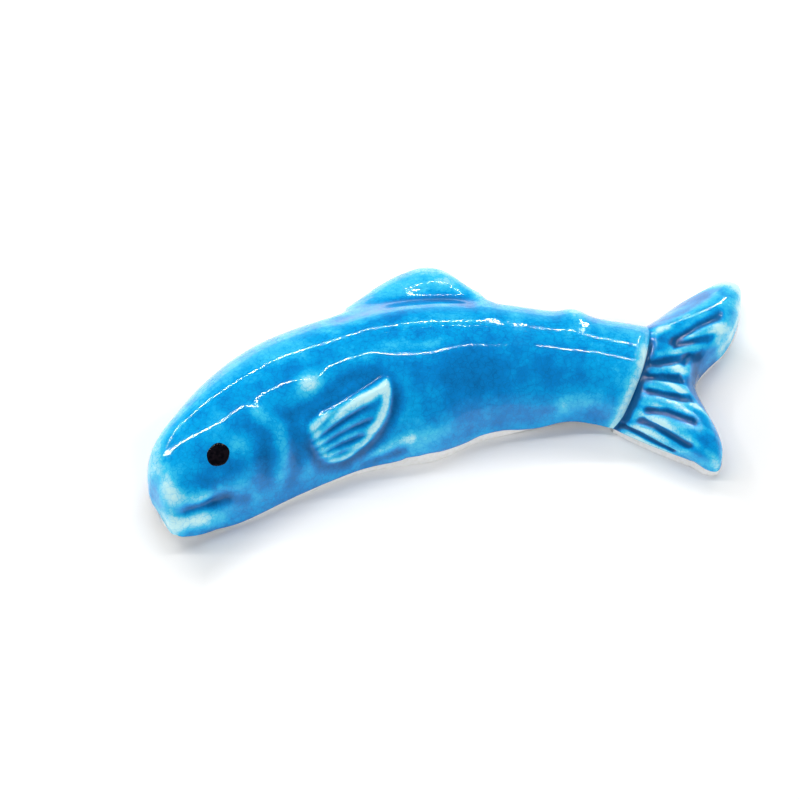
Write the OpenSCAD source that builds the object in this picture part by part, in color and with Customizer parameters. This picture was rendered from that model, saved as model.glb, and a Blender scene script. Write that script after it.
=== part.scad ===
// Chopstick rest: a glazed stoneware fish lying on its side.
// The snout points to -X, the back to +Y, and the foot stands on z = 0.
// A place on the body is a pair: its share of the body's length, then its turn from belly (-1) to back (1).

/* [Body] */
// Length of the body along its bent axis, from the snout to the lip over the tail
body_l = 61.8; // [52:0.1:72]
// Width of the clay body, from belly to back
body_w = 18.6; // [15:0.1:22]
// Height of the flank's crest above the table
body_h = 11.1; // [9:0.1:14]
// Radius that the body's axis is bent to
bend_r = 53; // [48:1:80]
// How far the tip of the snout is pressed back
nose_snub = 0.55; // [0:0.05:1]

/* [Fins] */
// Reach of the dorsal fin beyond the back
dorsal_out = 6.8; // [3:0.1:9]
// Height of the dorsal fin's pad above the table
dorsal_h = 7.8; // [6:0.1:10]
// How softly the dorsal fin's pad runs into the back
dorsal_blend = 1.3; // [0.4:0.1:2]
// Length of the pectoral fin
pectoral_l = 12.5; // [9:0.1:14]
// Width of the pectoral fin at its root
pectoral_w = 6.2; // [4:0.1:7]
// Rise of the pectoral fin's rim above the flank
pectoral_rise = 0.55; // [0.2:0.05:0.9]
// Depth of the pectoral fin's seat, below its corners
pectoral_seat = 0.8; // [0.5:0.1:1.5]
// Reach of the small fin before the tail beyond the back
adipose_out = 0.7; // [0:0.1:1.2]

/* [Tail] */
// Length of the tail fin, from the lip to its belly lobe
tail_l = 13; // [10:0.1:18]
// Span of the tail fin, from tip to tip
tail_w = 28; // [22:0.1:34]
// Drop from the body's lip to the tail fin's root
lip_drop = 1.3; // [0.8:0.1:2]
// Bulge of the lip over the tail fin's root
lip_bulge = 2.1; // [1:0.1:3]
// Height of the tail fin at its trailing edge
tail_edge_h = 3.9; // [3:0.1:5]
// Lift of the tail fin's two tips above its trailing edge
tip_rise = 0.9; // [0:0.1:1.5]
// Bow of the tail fin's upper edge beyond a straight line
tail_bow = 0.8; // [0:0.1:1.5]

/* [Relief] */
// Depth of a pressed groove
groove_d = 0.45; // [0.2:0.05:0.7]
// Half width of a pressed groove
groove_w = 0.75; // [0.5:0.05:1]
// Height of the round boss behind the head
boss_h = 0.35; // [0.2:0.05:0.8]
// Radius of the round boss behind the head
boss_r = 1.7; // [1:0.1:2.2]

/* [Glaze] */
// Thickness of the glaze
glaze_t = 0.4; // [0.3:0.05:0.6]
// Bare clay between the table and the glaze, where it is tallest
glaze_gap = 1.2; // [0.6:0.1:2]
// Inset of the foot below the glaze line
foot_inset = 0.2; // [0.2:0.05:0.8]

/* [Eye] */
// Diameter of the eye's dot
eye_d = 2.7; // [1.8:0.1:3.4]
// Crown of the dot above the glaze
eye_crown = 0.15; // [0.05:0.05:0.3]

/* [Hidden] */
clay_colour = "#efece4";
glaze_colour = [0.03, 0.55, 0.82, 0.75];
eye_colour = "#101014";
tiny = glaze_t / 100;
eye_seat = glaze_t * 0.6;
eye_sag = eye_d / 20;

// Outline along the body: each pair is a share of its length and a share of its size there
crest_share = 0.56;
belly_shares = [
    [0, 0.05], [0.008, 0.43], [0.02, 0.53], [0.045, 0.62], [0.09, 0.77], [0.16, 0.96], [0.24, 1.05], [0.32, 1.1],
    [0.42, 1.14], [0.5, 1.21], [0.58, 1.26], [0.63, 1.21], [0.7, 1.05], [0.77, 0.95], [0.85, 0.85], [0.93, 0.71],
    [1, 0.7]
];
back_shares = [
    [0, 0.05], [0.01, 0.19], [0.035, 0.34], [0.07, 0.45], [0.12, 0.56], [0.2, 0.75], [0.3, 0.93], [0.4, 0.97],
    [0.48, 0.95], [0.56, 0.93], [0.66, 0.9], [0.76, 0.84], [0.86, 0.78], [0.93, 0.77], [1, 0.82]
];
crest_shares = [
    [0, 0.34], [0.012, 0.56], [0.035, 0.71], [0.07, 0.81], [0.12, 0.88], [0.22, 0.95], [0.36, 1], [0.52, 1],
    [0.64, 0.95], [0.76, 0.85], [0.86, 0.74], [0.94, 0.68], [1, 0.65]
];
lift_shares = [
    [0, 0.24], [0.03, 0.13], [0.08, 0.05], [0.14, 0], [0.74, 0], [0.82, 0.02], [0.89, 0.09], [0.95, 0.06], [1, 0]
];
bare_shares = [
    [0, 0.1], [0.1, 0.15], [0.18, 0.45], [0.3, 0.65], [0.45, 1], [0.54, 1.2], [0.62, 1.2], [0.7, 0.9], [0.8, 0.6],
    [0.87, 0.2], [0.95, 0.1], [1, 0.5]
];
dorsal_shares = [
    [0, 0], [0.12, 0.05], [0.3, 0.36], [0.45, 0.69], [0.56, 0.89], [0.66, 1], [0.75, 0.88], [0.85, 0.43],
    [0.93, 0.16], [1, 0]
];
dorsal_span_shares = [0.43, 0.76];
dorsal_seam_shares = [1.15, 0.7];
adipose_span_shares = [0.885, 0.022];
// Lean of the snout: on the belly's side, on the back's side, and of its end face
chin_shares = [0.45, 0.65, 0.5];
chin_round_share = 0.35;
snub_reach_share = 0.06;
lip_reach_share = 0.2;

// Trailing edge of the tail fin: turn, share of its length, share of its span
tail_shares = [
    [-1, 0.79, -0.34], [-0.95, 0.93, -0.367], [-0.86, 1.03, -0.355], [-0.72, 1.04, -0.3], [-0.5, 0.97, -0.225],
    [-0.25, 0.84, -0.135], [-0.05, 0.71, -0.045], [0.08, 0.655, 0.02], [0.22, 0.65, 0.11], [0.4, 0.715, 0.195],
    [0.6, 0.83, 0.305], [0.8, 0.885, 0.445], [0.92, 0.87, 0.58], [0.97, 0.82, 0.662], [1, 0.69, 0.69]
];

// Pressed grooves: depth and width as shares of a groove's own, then the places it runs through; ridges go below 0
mouth_shares = [[0.75, 0.8], [[0.028, -0.685], [0.052, -0.712], [0.08, -0.722], [0.12, -0.737]]];
upper_lip_shares = [[-0.35, 1.2], [[0.022, -0.36], [0.032, -0.5], [0.045, -0.58], [0.085, -0.63]]];
lower_lip_shares = [[-0.27, 1.2], [[0.015, -0.8], [0.05, -0.84], [0.1, -0.87]]];
cheek_shares = [[0.4, 1.9], [[0.2, -0.33], [0.212, -0.45], [0.207, -0.6], [0.19, -0.74]]];
gill_ridge_shares = [[-0.27, 1.5], [[0.232, -0.25], [0.25, -0.4], [0.246, -0.54], [0.226, -0.74]]];
gill_shares = [[0.65, 1.7], [[0.29, -0.4], [0.281, -0.53], [0.268, -0.66], [0.245, -0.82]]];
hollow_shares = [[0.5, 1.8], [[0.32, -0.365], [0.385, -0.33], [0.44, -0.29], [0.49, -0.275]]];
valley_shares = [[0.6, 2.1], [[0.48, 0.32], [0.55, 0.28], [0.62, 0.26], [0.7, 0.29]]];
pelvic_shares = [[-0.35, 1.2], [[0.4, -0.9], [0.45, -0.855], [0.49, -0.81], [0.535, -0.78]]];
body_groove_shares = [
    mouth_shares, upper_lip_shares, lower_lip_shares, cheek_shares, gill_ridge_shares, gill_shares, hollow_shares,
    valley_shares, pelvic_shares
];
tail_groove_shares = [
    [[0.9, 1], [[0.1, -0.02], [0.4, 0.075], [0.74, 0.15]]],
    [[0.55, 1.2], [[0.74, 0.15], [0.9, 0.205]]],
    [[0.95, 0.9], [[0.12, -0.185], [0.38, -0.075], [0.66, -0.02]]],
    [[0.9, 0.85], [[0.18, -0.35], [0.42, -0.285], [0.7, -0.185]]],
    [[0.95, 0.9], [[0.24, -0.57], [0.41, -0.495], [0.67, -0.447]]],
    [[1, 0.85], [[0.22, -0.7], [0.42, -0.71], [0.72, -0.727]]],
    [[0.9, 0.7], [[0.06, -0.86], [0.37, -0.895], [0.72, -0.91]]],
    [[0.65, 0.95], [[0.48, 0.255], [0.68, 0.315], [0.84, 0.36]]],
    [[0.75, 1.15], [[0.4, 0.3], [0.59, 0.445], [0.78, 0.54]]],
    [[0.65, 1], [[0.06, -0.97], [0.06, 0.2]]],
    [[-0.4, 1.1], [[0.34, -0.23], [0.54, -0.155], [0.68, -0.12]]],
    [[-0.3, 1.2], [[0.1, 0.36], [0.36, 0.52], [0.58, 0.65], [0.72, 0.74]]]
];
boss_place_shares = [0.352, -0.225];
eye_place_shares = [0.132, -0.36];
dorsal_steps = 12;
foot_reach_share = 0.4;

// The pectoral fin: its corner's place, its middle, its block of rows and columns, and its outline
pectoral_place_shares = [0.312, -0.485];
pectoral_middle_shares = [0.41, -0.61];
pectoral_block_shares = [0.28, 0.55, -0.97, -0.2];
pectoral_outline_shares = [
    [0.02, 0.04], [0.16, -0.01], [0.29, 0.02], [0.46, 0.04], [0.64, 0.04], [0.83, 0.02], [0.98, -0.01], [1, 0.1],
    [0.96, 0.29], [0.865, 0.53], [0.72, 0.74], [0.55, 0.9], [0.41, 0.97], [0.255, 1], [0.09, 0.91], [-0.02, 0.72],
    [-0.04, 0.46], [-0.035, 0.3]
];
pectoral_tilt = 10;
// Rays fan out from a point before the fin: its place, the first ray's turn and the turn between two
ray_centre_shares = [-0.83, 0.33];
ray_turn = -4.2;
ray_pitch = 5.2;

// Rows along the body and the tail, and columns from belly to back: from, to and how many
row_shares = [[0, 0.1, 9], [0.1, 0.3, 10], [0.3, 0.52, 17], [0.52, 0.84, 12], [0.84, 0.92, 4], [0.92, 1, 5]];
column_shares = [[-1, -0.86, 2], [-0.86, -0.34, 15], [-0.34, 0, 5], [0, 0.7, 8], [0.7, 1, 2]];
tail_rows = 13;

// A smooth line through pairs of place and share
function last(a) = len(a) - 1;
function slot(a, t, i = 0) = i >= last(a) - 1 || t < a[i + 1][0] ? i : slot(a, t, i + 1);
function slope(a, i) =
    let (from = max(i - 1, 0), to = min(i + 1, last(a)))
    (a[to][1] - a[from][1]) / (a[to][0] - a[from][0]);
function follow(a, t) =
    let (
        k = min(max(t, a[0][0]), a[last(a)][0]),
        i = slot(a, k),
        h = a[i + 1][0] - a[i][0],
        s = (k - a[i][0]) / h,
        s2 = s * s,
        s3 = s2 * s
    )
    (2 * s3 - 3 * s2 + 1) * a[i][1] + (s3 - 2 * s2 + s) * h * slope(a, i)
    + (3 * s2 - 2 * s3) * a[i + 1][1] + (s3 - s2) * h * slope(a, i + 1);

function unit(a) = a / max(norm(a), tiny);
function hill(x, w) = exp(-pow(x / w, 2));
function row_at(t) = len([for (a = rows_t) if (a <= t) a]) - 1;
function column_at(v) = len([for (a = columns_v) if (a <= v) a]) - 1;
function ramp(x, from, to) = let (k = min(max((x - from) / (to - from), 0), 1)) k * k * (3 - 2 * k);
function arch(x, power) = sqrt(max(0, 1 - pow(min(1, abs(x)), power)));
function level(p) = [p[0], p[1], 0];

// The bent axis
function axis_turn(t) = (t - crest_share) * body_l / bend_r * 180 / PI;
function axis_point(t) =
    bend_r * [sin(axis_turn(t)) - sin(axis_turn(0)), cos(axis_turn(t)) - cos(axis_turn(0)), 0];
function forward(t) = [cos(axis_turn(t)), -sin(axis_turn(t)), 0];
function sideways(t) = [sin(axis_turn(t)), cos(axis_turn(t)), 0];

// Sizes of the section at one place: belly, back, crest, underside, glaze line and fin reach
function dorsal_at(t) = (t - dorsal_span_shares[0]) / (dorsal_span_shares[1] - dorsal_span_shares[0]);
function sizes(t) = [
    body_w / 2 * follow(belly_shares, t),
    body_w / 2 * follow(back_shares, t),
    body_h * follow(crest_shares, t),
    body_h * max(0, follow(lift_shares, t)),
    body_h * max(0, follow(lift_shares, t)) + glaze_gap * follow(bare_shares, t),
    dorsal_out * max(0, follow(dorsal_shares, dorsal_at(t)))
    + adipose_out * hill(t - adipose_span_shares[0], adipose_span_shares[1])
];
function girth(t) = let (z = sizes(t)) (z[0] + z[2] - z[4]) * PI / 4;

// The body before its relief: an arched section, with the dorsal fin's pad against the back
body_power = 2.15;
snout_power = 1;
snout_reach_share = 0.3;
pad_power = 2.2;
pad_middle = 0.57;
pad_inner = 1.05;
function body_point(t, v) =
    let (
        z = sizes(t),
        s = sin(90 * v),
        q = (v < 0 ? z[0] : z[1] + z[5]) * s,
        snout = pow(max(0, 1 - t / snout_reach_share), 2),
        flank = z[4] + (z[2] - z[4]) * arch(q / (v < 0 ? z[0] : z[1]), body_power + snout_power * snout),
        middle = (z[1] + z[5]) * pad_middle,
        across = (q - middle) / max(q < middle ? pad_inner * middle : z[1] + z[5] - middle, tiny),
        pad = z[4] + (dorsal_h - z[4]) * arch(across, pad_power),
        both = (flank + pad + norm([flank - pad, dorsal_blend])) / 2,
        fin = min(1, 4 * z[5] / max(dorsal_out, tiny)),
        chin = chin_round_share * pow(min(q, 0), 2) / (body_w / 2),
        lean = snout * (chin_shares[v < 0 ? 0 : 1] * q - chin)
            + nose_snub * pow(max(0, 1 - t / snub_reach_share), 2),
        lip = lip_bulge * ramp(t, 1 - lip_reach_share, 1) * sqrt(max(0, 1 - s * s)),
        plan = axis_point(t) + q * sideways(t) + (lean + lip) * forward(t)
    )
    [plan[0], plan[1], v > 0 ? flank + fin * max(0, both - flank) : flank];

// The tail before its relief: it steps down behind the lip, runs straight to the trailing edge and rolls over there
rim_power = 5;
step_share = 0.45;
step_run_share = 0.4;
root_h = body_h * crest_shares[last(crest_shares)][1] - lip_drop;
lip_run = glaze_t * 0.75;
tail_edge_at = [for (a = tail_shares) [a[0], a[1] * tail_l]];
tail_side_at = [for (a = tail_shares) [a[0], a[2] * tail_w]];
function tail_point(w, v) =
    let (
        s = sin(90 * v),
        root = body_point(1, v) + lip_run * forward(1),
        edge = axis_point(1) + follow(tail_edge_at, s) * forward(1) + follow(tail_side_at, s) * sideways(1),
        bow = tail_bow * 4 * w * (1 - w) * (ramp(s, 0.3, 1) - 0.3 * ramp(-s, 0.3, 1)),
        plan = root + (edge - root) * w + bow * sideways(1),
        low = glaze_gap * (0.5 + (v < 0 ? 0.45 : 0.3) * w),
        crest = root_h + (tail_edge_h - root_h) * w + tip_rise * w * w * s * s,
        top = low + (crest - low) * arch(s, rim_power) * arch(w, 2 * rim_power),
        end = body_point(1, v)[2],
        start = end - min(lip_drop * ramp(v, 0.5, 0.1), step_share * (end - low))
    )
    [plan[0], plan[1], start + (top - start) * ramp(w, -0.05, step_run_share)];

// Distance from a point to a line of points, on the flank or the tail laid flat
function to_step(p, a, b) =
    let (k = min(max((p - a) * (b - a) / max((b - a) * (b - a), tiny), 0), 1))
    norm(p - a - k * (b - a));
function to_line(p, line) = min([for (i = [0:len(line) - 2]) to_step(p, line[i], line[i + 1])]);
function groove(t, v, size, a) =
    -groove_d * a[0][0]
    * hill(to_line([t * size[0], v * size[1]], [for (b = a[1]) [b[0] * size[0], b[1] * size[1]]]), groove_w * a[0][1]);
function total(a, i = 0) = i > last(a) ? 0 : a[i] + total(a, i + 1);

// The pectoral fin laid flat: to its own two axes and back, and how far inside its outline a point is
pectoral_outline = [for (a = pectoral_outline_shares) [a[0] * pectoral_l, a[1] * pectoral_w]];
function on_pectoral(t, v, wide) =
    let (x = (t - pectoral_place_shares[0]) * body_l, y = (v - pectoral_place_shares[1]) * wide)
    [x * cos(pectoral_tilt) + y * sin(pectoral_tilt), x * sin(pectoral_tilt) - y * cos(pectoral_tilt)];
function from_pectoral(p, wide) = [
    pectoral_place_shares[0] + (p[0] * cos(pectoral_tilt) + p[1] * sin(pectoral_tilt)) / body_l,
    pectoral_place_shares[1] + (p[0] * sin(pectoral_tilt) - p[1] * cos(pectoral_tilt)) / wide
];
function crosses(p, a, b) =
    (a[1] > p[1]) != (b[1] > p[1]) && p[0] < a[0] + (b[0] - a[0]) * (p[1] - a[1]) / (b[1] - a[1]) ? 1 : 0;
function inside(p, line) =
    let (n = len(line), hits = total([for (i = [0:n - 1]) crosses(p, line[i], line[(i + 1) % n])]))
    (hits % 2 == 1 ? 1 : -1) * to_line(p, concat(line, [line[0]]));
function rays(p) =
    let (x = p[0] - ray_centre_shares[0] * pectoral_l, y = p[1] - ray_centre_shares[1] * pectoral_w)
    (1 - cos(360 * (atan2(y, x) - ray_turn) / ray_pitch)) / 2;
function near(p) = norm([p[0] - pectoral_l / 2, p[1] - pectoral_w / 2]) < pectoral_l;
function pectoral(t, v, wide) =
    let (p = on_pectoral(t, v, wide), d = near(p) ? inside(p, pectoral_outline) : -pectoral_l)
    pectoral_rise * ramp(d, -0.8 * groove_w, groove_w)
    - pectoral_rise * ramp(d, groove_w, 2.5 * groove_w) * (0.3 + 0.6 * (1 - rays(p)))
    - groove_d * 0.55 * hill(d + 1.3 * groove_w, 1.5 * groove_w) * ramp(p[1], 0, 4 * groove_w);

// Relief of the body and of the tail, outwards from the plain surface
function boss(t, v, wide) =
    let (r = norm([(t - boss_place_shares[0]) * body_l, (v - boss_place_shares[1]) * wide]))
    boss_h * hill(r, boss_r);
function body_relief(t, v) =
    let (wide = girth(t))
    total([for (a = body_groove_shares) groove(t, v, [body_l, wide], a)])
    + boss(t, v, wide) + pectoral(t, v, wide);
function tail_relief(w, v) =
    total([for (a = tail_groove_shares) groove(w, v, [tail_l, tail_w / 2], a)])
    * ramp(w, 0, 0.1) * ramp(w, 1, 0.85);

// Places of the rows and columns
function spread(a) = [
    for (b = a, i = [0:b[2] - 1]) b[0] + (b[1] - b[0]) * i / b[2], a[last(a)][1]
];
function nose_dense(t) = let (n = row_shares[0][1]) t < n ? n * pow(t / n, 1.7) : t;
rows_t = [for (t = spread(row_shares)) nose_dense(t)];
columns_v = spread(column_shares);
rows_w = [for (k = [0:tail_rows]) sin(90 * k / tail_rows)];
body_rows = last(rows_t);
across = last(columns_v);
all_rows = body_rows + 1 + tail_rows;

// Plain surface, its outward normals, and the clay and glaze surfaces
plain = concat(
    [for (t = rows_t) [for (v = columns_v) body_point(t, v)]],
    [for (w = rows_w) [for (v = columns_v) tail_point(w, v)]]
);
function step_i(i, j) = plain[min(i + 1, all_rows)][j] - plain[max(i - 1, 0)][j];
function step_j(i, j) = plain[i][min(j + 1, across)] - plain[i][max(j - 1, 0)];
function outward(i, j) =
    i == 0 ? unit(chin_shares[2] * sideways(0) - forward(0)) : unit(cross(step_i(i, j), step_j(i, j)));
normals = [for (i = [0:all_rows]) [for (j = [0:across]) outward(i, j)]];
function relief(i, j) =
    i <= body_rows ? body_relief(rows_t[i], columns_v[j]) : tail_relief(rows_w[i - body_rows - 1], columns_v[j]);
function on_rim(i, j) = j == 0 || j == across || i == all_rows;
clay = [
    for (i = [0:all_rows]) [for (j = [0:across]) plain[i][j] + (on_rim(i, j) ? 0 : relief(i, j)) * normals[i][j]]
];
glaze = [
    for (i = [0:all_rows])
        [for (j = [0:across]) clay[i][j] + (on_rim(i, j) ? glaze_t / 2 : glaze_t) * normals[i][j]]
];

// Foot of the body, drawn in below the glaze line, and the underside of the tail
function foot(i, back) =
    let (
        t = rows_t[min(i, body_rows)],
        z = sizes(t),
        reach = back ? z[1] + z[5] : z[0],
        inset = min(foot_inset + z[3], reach * foot_reach_share)
    )
    level(plain[i][back ? across : 0]) + (back ? -inset : inset) * sideways(t) + [0, 0, i > body_rows ? 0 : z[3]];
function under(i, j) =
    j == 0 || j == across
    ? foot(i, j == across)
    : level(plain[i][j]) + [0, 0, i > body_rows ? 0 : sizes(rows_t[i])[3]];
function tail_foot(j) =
    let (
        p = plain[all_rows][j],
        q = plain[body_rows + 1 + floor(tail_rows / 3)][min(max(j, 2), across - 2)]
    )
    level(p) + foot_inset * unit(level(q) - level(p));

// Faces, all turning clockwise from outside: a grid seen from above, a strip between two lines, and a fan
function grid_faces(rows, columns, at = 0) = [
    for (i = [0:rows - 1], j = [0:columns - 1])
        let (a = at + i * (columns + 1) + j, b = a + columns + 1)
        each [[a, a + 1, b + 1], [a, b + 1, b]]
];
function strip_faces(a, b) = [
    for (i = [0:len(a) - 2]) each [[a[i], a[i + 1], b[i + 1]], [a[i], b[i + 1], b[i]]]
];
function fan_faces(a) = [for (i = [1:len(a) - 2]) [a[0], a[i], a[i + 1]]];
function run(from, to, step = 1) = [for (i = [from:step:to]) i];
function flipped(faces) = [for (f = faces) [f[0], f[2], f[1]]];
function joined(rows) = [for (a = rows) each a];

// A length of the body between two rows and two columns, closed by its underside
module body_length(from, to, left, right) {
    long = to - from;
    wide = right - left;
    left_at = (long + 1) * (wide + 1);
    right_at = left_at + long + 1;
    lip_at = right_at + long + 1;
    lipped = to > body_rows;
    top_left = [for (i = [0:long]) i * (wide + 1)];
    top_right = [for (a = top_left) a + wide];
    under_left = run(left_at, left_at + long);
    under_right = run(right_at, right_at + long);
    first = concat([left_at], run(0, wide), [right_at]);
    end_top = run(long * (wide + 1), long * (wide + 1) + wide);
    end_under = concat([left_at + long], lipped ? run(lip_at, lip_at + wide - 2) : [], [right_at + long]);
    polyhedron(
        concat(
            [for (i = [from:to], j = [left:right]) clay[i][j]],
            [for (i = [from:to]) under(i, left)],
            [for (i = [from:to]) under(i, right)],
            [for (j = [left + 1:right - 1]) if (lipped) under(to, j)]
        ),
        concat(
            grid_faces(long, wide),
            strip_faces(top_left, under_left),
            strip_faces(under_right, top_right),
            strip_faces(under_left, under_right),
            flipped(fan_faces(first)),
            lipped
                ? concat(strip_faces(end_top, end_under), fan_faces(end_under))
                : fan_faces(concat([left_at + long], end_top, [right_at + long]))
        )
    );
}

// The tail fin, from its root behind the lip to the fork
module tail_blank() {
    wide = across;
    top = run(0, tail_rows);
    last_row = tail_rows * (wide + 1);
    root_at = last_row + wide + 1;
    edge_at = root_at + wide + 1;
    root_under = run(root_at, root_at + wide);
    edge_under = run(edge_at, edge_at + wide);
    left = [for (i = top) i * (wide + 1)];
    right = [for (i = top) i * (wide + 1) + wide];
    polyhedron(
        concat(
            [for (i = top, j = [0:wide]) clay[body_rows + 1 + i][j]],
            [for (j = [0:wide]) under(body_rows + 1, j)],
            [for (j = [0:wide]) tail_foot(j)]
        ),
        concat(
            grid_faces(tail_rows, wide),
            strip_faces(root_under, run(0, wide)),
            strip_faces(run(last_row, last_row + wide), edge_under),
            flipped(strip_faces(root_under, edge_under)),
            fan_faces(concat([edge_at, root_at], left)),
            flipped(fan_faces(concat([edge_at + wide, root_at + wide], right)))
        )
    );
}

// The glaze coat, one skin over all the clay that shows
module glaze_blank() {
    wide = across;
    inner = (all_rows + 1) * (wide + 1);
    outer_left = [for (i = [0:all_rows]) i * (wide + 1)];
    outer_right = [for (a = outer_left) a + wide];
    outer_end = run(all_rows * (wide + 1), all_rows * (wide + 1) + wide);
    nose = run(0, wide);
    polyhedron(
        concat(joined(glaze), joined(clay)),
        concat(
            grid_faces(all_rows, wide),
            flipped(grid_faces(all_rows, wide, inner)),
            strip_faces(outer_left, [for (a = outer_left) a + inner]),
            strip_faces([for (a = outer_right) a + inner], outer_right),
            strip_faces(outer_end, [for (a = outer_end) a + inner]),
            flipped(fan_faces(nose)),
            fan_faces([for (a = nose) a + inner]),
            flipped(strip_faces([0, wide], [inner, inner + wide]))
        )
    );
}

// A frame on the plain surface at one place: its point and its three axes
function surface_frame(t, v) =
    let (
        step = 1 / (2 * body_rows),
        along = body_point(t + step, v) - body_point(t - step, v),
        up = unit(cross(along, body_point(t, v + step) - body_point(t, v - step))),
        x = unit(along - (along * up) * up)
    )
    [body_point(t, v), x, cross(up, x), up];
function in_frame(f, p) = [(p - f[0]) * f[1], (p - f[0]) * f[2], (p - f[0]) * f[3]];
module to_frame(f) {
    multmatrix([for (k = [0:2]) [f[1][k], f[2][k], f[3][k], f[0][k]]]) children();
}

// Seat of the pectoral fin: a leaf with a flat floor
module pectoral_seat_cut() {
    wide = girth(pectoral_place_shares[0]);
    f = surface_frame(pectoral_middle_shares[0], pectoral_middle_shares[1]);
    rim = [
        for (a = pectoral_outline)
            let (b = from_pectoral(a, wide)) in_frame(f, body_point(b[0], b[1]))
    ];
    floor_z = min([for (p = rim) p[2]]) - pectoral_seat;
    to_frame(f) translate([0, 0, floor_z])
        linear_extrude(body_h) polygon([for (p = rim) [p[0], p[1]]]);
}

// Seat of the dorsal fin: an upright cut that bites into the back
module dorsal_seat_cut() {
    from = dorsal_span_shares[0];
    to = dorsal_span_shares[1];
    steps = dorsal_steps;
    inner = [
        for (k = [0:steps])
            let (
                t = from + (to - from) * k / steps,
                reach = dorsal_seam_shares[0] + (dorsal_seam_shares[1] - dorsal_seam_shares[0]) * sin(180 * k / steps)
            )
            axis_point(t) + body_w / 2 * follow(back_shares, t) * reach * sideways(t)
    ];
    outer = [
        for (t = [to, from]) axis_point(t) + (body_w + dorsal_out) * sideways(t)
    ];
    translate([0, 0, -body_h]) linear_extrude(3 * body_h)
        polygon([for (p = concat(inner, outer)) [p[0], p[1]]]);
}

// Half of the eye's height over its rim comes from the curve of the head
eye_frame = surface_frame(eye_place_shares[0], eye_place_shares[1]);
module eye_place() {
    to_frame(eye_frame) translate([0, 0, glaze_t]) children();
}

module clay_body() {
    color(clay_colour) difference() {
        body_length(0, body_rows + 1, 0, across);
        dorsal_seat_cut();
        pectoral_seat_cut();
    }
}

module dorsal_fin() {
    color(clay_colour) intersection() {
        body_length(row_at(dorsal_span_shares[0]) - 1, row_at(dorsal_span_shares[1]) + 2, column_at(0), across);
        dorsal_seat_cut();
    }
}

module pectoral_fin() {
    color(clay_colour) intersection() {
        body_length(row_at(pectoral_block_shares[0]), row_at(pectoral_block_shares[1]),
            column_at(pectoral_block_shares[2]), column_at(pectoral_block_shares[3]));
        pectoral_seat_cut();
    }
}

module tail_fin() {
    color(clay_colour) tail_blank();
}

module glaze_coat() {
    color(glaze_colour) difference() {
        glaze_blank();
        eye_place() translate([0, 0, -eye_seat]) cylinder(h = body_h, d = eye_d, $fn = 48);
    }
}

module eye() {
    dome = eye_crown + eye_sag;
    ball = (eye_d * eye_d / 4 + dome * dome) / (2 * dome);
    color(eye_colour) eye_place() intersection() {
        translate([0, 0, -eye_seat]) cylinder(h = body_h, d = eye_d, $fn = 48);
        translate([0, 0, eye_crown - ball]) sphere(r = ball, $fn = 96);
    }
}

// Every piece stands with the box of the whole rest centred over the origin
plan_x = [for (p = joined(glaze)) p[0]];
plan_y = [for (p = joined(glaze)) p[1]];
module centred() {
    translate([-(min(plan_x) + max(plan_x)) / 2, -(min(plan_y) + max(plan_y)) / 2, 0]) children();
}

centred() clay_body();
centred() dorsal_fin();
centred() pectoral_fin();
centred() tail_fin();
centred() glaze_coat();
centred() eye();
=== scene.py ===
"""Dresses the chopstick rest: a glazed fish on a bare clay foot, on a white floor under a frame of lamps."""

import math

import bpy
import numpy as np
from mathutils import Matrix


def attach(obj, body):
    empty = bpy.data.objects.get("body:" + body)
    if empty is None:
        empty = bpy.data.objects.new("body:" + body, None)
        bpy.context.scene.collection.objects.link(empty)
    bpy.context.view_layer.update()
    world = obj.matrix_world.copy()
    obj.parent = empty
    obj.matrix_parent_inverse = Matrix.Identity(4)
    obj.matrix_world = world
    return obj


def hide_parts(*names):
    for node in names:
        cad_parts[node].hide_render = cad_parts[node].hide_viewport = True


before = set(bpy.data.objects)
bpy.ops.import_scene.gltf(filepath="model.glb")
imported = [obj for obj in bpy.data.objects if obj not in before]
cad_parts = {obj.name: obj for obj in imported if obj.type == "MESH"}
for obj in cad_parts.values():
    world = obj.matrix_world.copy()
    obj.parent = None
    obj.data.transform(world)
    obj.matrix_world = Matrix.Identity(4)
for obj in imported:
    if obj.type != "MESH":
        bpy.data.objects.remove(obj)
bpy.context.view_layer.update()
MM = 0.001

# Sizes in millimetres, as in the solids
BODY_L, BODY_W, BODY_H = 61.8, 18.6, 11.1
BEND_R = 53.0
DORSAL_OUT, DORSAL_H, DORSAL_BLEND = 6.69, 7.8, 1.3
ADIPOSE_OUT = 0.7
PECTORAL_L, PECTORAL_W, PECTORAL_RISE, SEAT = 12.5, 6.2, 0.55, 1.2
TAIL_L, TAIL_W, TAIL_EDGE_H, TIP_RISE = 13.0, 28.0, 3.9, 0.9
LIP_DROP, LIP_BULGE = 1.3, 2.1
BOSS_H, BOSS_R = 0.32, 1.7
GLAZE_T, GLAZE_GAP, FOOT_INSET = 0.37, 1.2, 0.2
EYE_D, EYE_CROWN, EYE_DEPTH = 2.7, 0.15, 0.24
UNEVEN, UNEVEN_WAVE = 0.035, 9

# Gaps in millimetres that keep one skin clear of the next, and the glaze's share of thickness at its rim
UNDER_GLAZE, UNDER_CLAY, UNDER_SPRIG = 0.04, 0.02, 0.03
RIM_THIN = 0.3
# Millimetres of skin from a rim to the crest, and those over which the relief fades at a rim
RIM_SPAN, RIM_FADE = 14, 1.2

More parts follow.
